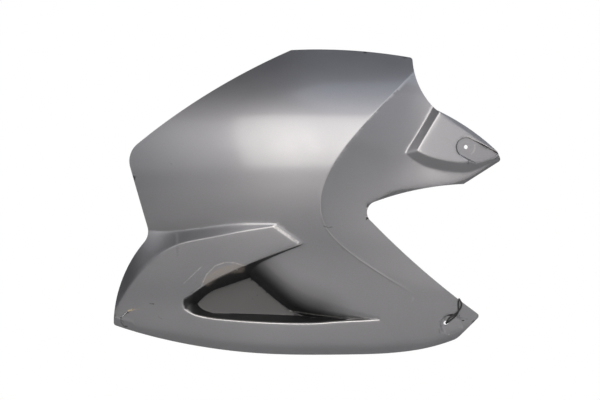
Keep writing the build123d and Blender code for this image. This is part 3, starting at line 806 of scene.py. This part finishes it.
def satin_paint():
    """Satin graphite metallic paint, sprayed on ABS."""
    # Fine flakes give a broad soft glow, and a thin clear coat with orange peel a second, tighter one.
    # The paint is worn thin on sharp edges, which also carry a painted highlight; the pocket and the bottom
    # of the scoop carry painted shade.
    material, tree = new_material("satin_graphite_metallic_paint")
    place = add_node(tree, "ShaderNodeTexCoord").outputs["Object"]
    pocket = add_node(tree, "ShaderNodeAttribute", attribute_name="pocket").outputs["Fac"]
    edge = add_node(tree, "ShaderNodeAttribute", attribute_name="edge").outputs["Fac"]
    mark = add_node(tree, "ShaderNodeAttribute", attribute_name="mark")
    # Real flakes are under 0.1 mm, and are drawn at 0.8 mm so that they show
    flake = add_node(tree, "ShaderNodeTexNoise", [("Vector", place)], Scale=1 / (0.8 * MM), Detail=1.0)
    tone = add_node(tree, "ShaderNodeMixRGB", [("Fac", flake.outputs["Fac"])],
                    Color1=linear("#8d8d90"), Color2=linear("#9c9b9f"))
    # Sharp edges lighten towards near white: worn paint and a painted highlight
    rub_and_glint = add_node(tree, "ShaderNodeMapRange", [("Value", edge)], To_Max=0.5)
    rubbed_and_glinting = add_node(tree, "ShaderNodeMixRGB", [("Fac", rub_and_glint.outputs[0]), ("Color1", tone.outputs["Color"])],
                      Color2=linear("#e6e4e2"))
    # The pocket and the bottom of the scoop darken to near black: painted shade
    sprayed = add_node(tree, "ShaderNodeMixRGB", [("Fac", pocket), ("Color1", rubbed_and_glinting.outputs["Color"])],
                       Color2=linear("#1d1d1e"))
    # Chips, stains and the painted highlights and shadows among the marks are broken up in patches of 4 mm
    patch = add_node(tree, "ShaderNodeTexNoise", [("Vector", place)], Scale=1 / (4 * MM), Detail=3.0)
    cover = add_node(tree, "ShaderNodeMapRange", [("Value", patch.outputs["Fac"])],
                     From_Min=0.35, From_Max=0.6, To_Min=0.35, To_Max=1.0)
    marked = add_node(tree, "ShaderNodeMath", [(0, mark.outputs["Alpha"]), (1, cover.outputs[0])],
                      operation="MULTIPLY")
    colour = add_node(
        tree, "ShaderNodeMixRGB",
        [("Fac", marked.outputs[0]), ("Color1", sprayed.outputs["Color"]), ("Color2", mark.outputs["Color"])],
    )
    # Chips, and the painted shade in the pocket and scoop, also lose the metal and the coat
    bare = add_node(tree, "ShaderNodeMath", [(0, pocket), (1, marked.outputs[0])], operation="MAXIMUM")
    painted = add_node(tree, "ShaderNodeMapRange", [("Value", bare.outputs[0])], To_Min=1.0, To_Max=0.0)
    # Hands and dust leave smudges of 45 mm
    smudge = add_node(tree, "ShaderNodeTexNoise", [("Vector", place)], Scale=1 / (45 * MM), Detail=3.0)
    rough = add_node(tree, "ShaderNodeMapRange", [("Value", smudge.outputs["Fac"])],
                     From_Min=0.3, From_Max=0.7, To_Min=0.48, To_Max=0.52)
    peel = add_node(tree, "ShaderNodeTexNoise", [("Vector", place)], Scale=1 / (1.6 * MM), Detail=1.0)
    bump = add_node(tree, "ShaderNodeBump", [("Height", peel.outputs["Fac"])],
                    Strength=0.25, Distance=0.03 * MM)
    shader = add_node(
        tree, "ShaderNodeBsdfPrincipled",
        [("Base Color", colour.outputs["Color"]), ("Metallic", painted.outputs[0]),
         ("Roughness", rough.outputs[0]), ("Coat Weight", painted.outputs[0]), ("Normal", bump.outputs[0])],
        Coat_Roughness=0.16,
    )
    add_node(tree, "ShaderNodeOutputMaterial", [("Surface", shader.outputs[0])])
    return material


def moulded_plastic():
    """Black ABS as it leaves the mould, unpainted."""
    # A spark grain of 0.9 mm breaks up its gloss, and the melt left paler streaks of about 60 mm.
    material, tree = new_material("moulded_black_abs")
    place = add_node(tree, "ShaderNodeTexCoord").outputs["Object"]
    streak = add_node(tree, "ShaderNodeTexNoise", [("Vector", place)], Scale=1 / (60 * MM), Detail=4.0)
    colour = add_node(tree, "ShaderNodeMixRGB", [("Fac", streak.outputs["Fac"])],
                      Color1=linear("#1a1a1b"), Color2=linear("#262627"))
    grain = add_node(tree, "ShaderNodeTexNoise", [("Vector", place)], Scale=1 / (0.9 * MM), Detail=2.0)
    rough = add_node(tree, "ShaderNodeMapRange", [("Value", grain.outputs["Fac"])],
                     From_Min=0.3, From_Max=0.7, To_Min=0.42, To_Max=0.6)
    bump = add_node(tree, "ShaderNodeBump", [("Height", grain.outputs["Fac"])],
                    Strength=0.4, Distance=0.05 * MM)
    shader = add_node(
        tree, "ShaderNodeBsdfPrincipled",
        [("Base Color", colour.outputs["Color"]), ("Roughness", rough.outputs[0]),
         ("Normal", bump.outputs[0])],
        IOR=1.53,
    )
    add_node(tree, "ShaderNodeOutputMaterial", [("Surface", shader.outputs[0])])
    return material


def new_piece(name, mesh, materials, node):
    """A piece that stands for a node of the solid model."""
    piece = bpy.data.objects.new(name, mesh)
    bpy.context.scene.collection.objects.link(piece)
    for material in materials:
        mesh.materials.append(material)
    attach(piece, "root")
    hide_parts(node)


def stage_sheet(name, size, place, turn, colour, seen_white=False):
    """A plain matt sheet of the studio. One that is seen white is so to the camera and in reflections."""
    bpy.ops.mesh.primitive_plane_add(size=size, location=place, rotation=turn)
    sheet = bpy.context.object
    sheet.name = name
    material, tree = new_material(name)
    matt = add_node(tree, "ShaderNodeBsdfDiffuse", Color=linear(colour))
    surface = matt
    if seen_white:
        white = add_node(tree, "ShaderNodeEmission", Color=linear("#ffffff"), Strength=1.0)
        path = add_node(tree, "ShaderNodeLightPath")
        seen = path.outputs["Is Camera Ray"]
        for kind in ("Is Glossy Ray", "Is Transmission Ray"):
            both = add_node(tree, "ShaderNodeMath", [(0, seen), (1, path.outputs[kind])], operation="MAXIMUM")
            seen = both.outputs[0]
        surface = add_node(tree, "ShaderNodeMixShader",
                           [(0, seen), (1, matt.outputs[0]), (2, white.outputs[0])])
    add_node(tree, "ShaderNodeOutputMaterial", [("Surface", surface.outputs[0])])
    sheet.data.materials.append(material)


def dim_world():
    """A dim and even sky."""
    world = bpy.data.worlds.new("studio")
    bpy.context.scene.world = world
    world.use_nodes = True
    tree = world.node_tree
    tree.nodes.clear()
    sky = add_node(tree, "ShaderNodeBackground", Color=linear("#dfe4ec"), Strength=0.08)
    add_node(tree, "ShaderNodeOutputWorld", [("Surface", sky.outputs[0])])


def square_camera():
    """A camera square to the panel, far away with a long lens."""
    camera = bpy.data.objects.new("camera", bpy.data.cameras.new("camera"))
    bpy.context.scene.collection.objects.link(camera)
    camera.data.lens = LENS
    camera.data.sensor_width = SENSOR
    camera.data.clip_end = 60
    camera.location = PICTURE_MIDDLE + Vector((0, -PICTURE_WIDTH * MM * LENS / SENSOR, 0))
    camera.rotation_euler = (math.radians(90), 0, 0)
    bpy.context.scene.camera = camera


def softbox(name, yaw, pitch, distance, width, height, power, colour):
    """An area light that faces the panel. Yaw is to the right of the camera, pitch above it, in degrees."""
    lamp = bpy.data.lights.new(name, "AREA")
    lamp.shape = "RECTANGLE"
    lamp.size = width
    lamp.size_y = height
    lamp.energy = power
    lamp.color = linear(colour)[:3]
    light = bpy.data.objects.new(name, lamp)
    bpy.context.scene.collection.objects.link(light)
    yaw, pitch = math.radians(yaw), math.radians(pitch)
    away = Vector((math.sin(yaw) * math.cos(pitch), -math.cos(yaw) * math.cos(pitch), math.sin(pitch)))
    light.location = PICTURE_MIDDLE + away * distance
    light.rotation_euler = away.to_track_quat("Z", "Y").to_euler()
    light.visible_camera = False


# Pieces
black_plastic = moulded_plastic()
new_piece("side_panel_shell", shell_mesh(), [satin_paint(), black_plastic], "side_panel")
new_piece("tie_strands", tie_mesh(), [black_plastic], "tie_loop")

# Studio, in metres: the panel hangs over a pale floor as it does on the machine, far before a white backdrop
stage_sheet("pale_floor", 8, (0, 0, -1.1), (0, 0, 0), "#d6d6d5")
stage_sheet("white_backdrop", 16, (0, 12, 0), (math.radians(90), 0, 0), "#f4f4f4", seen_white=True)
dim_world()
square_camera()
softbox("key_softbox", -9, 20, 3.0, 3.7, 2.95, 125, "#fffbf6")
softbox("ceiling_softbox", 45, 62, 3.0, 2.6, 2.2, 20, "#e6eefc")
softbox("left_softbox", -64, 14, 3.0, 2.2, 2.2, 9, "#f4f6fc")
softbox("right_softbox", 55, 10, 3.0, 1.8, 2.4, 9, "#f0f2fa")
bpy.context.scene.view_settings.view_transform = "Standard"
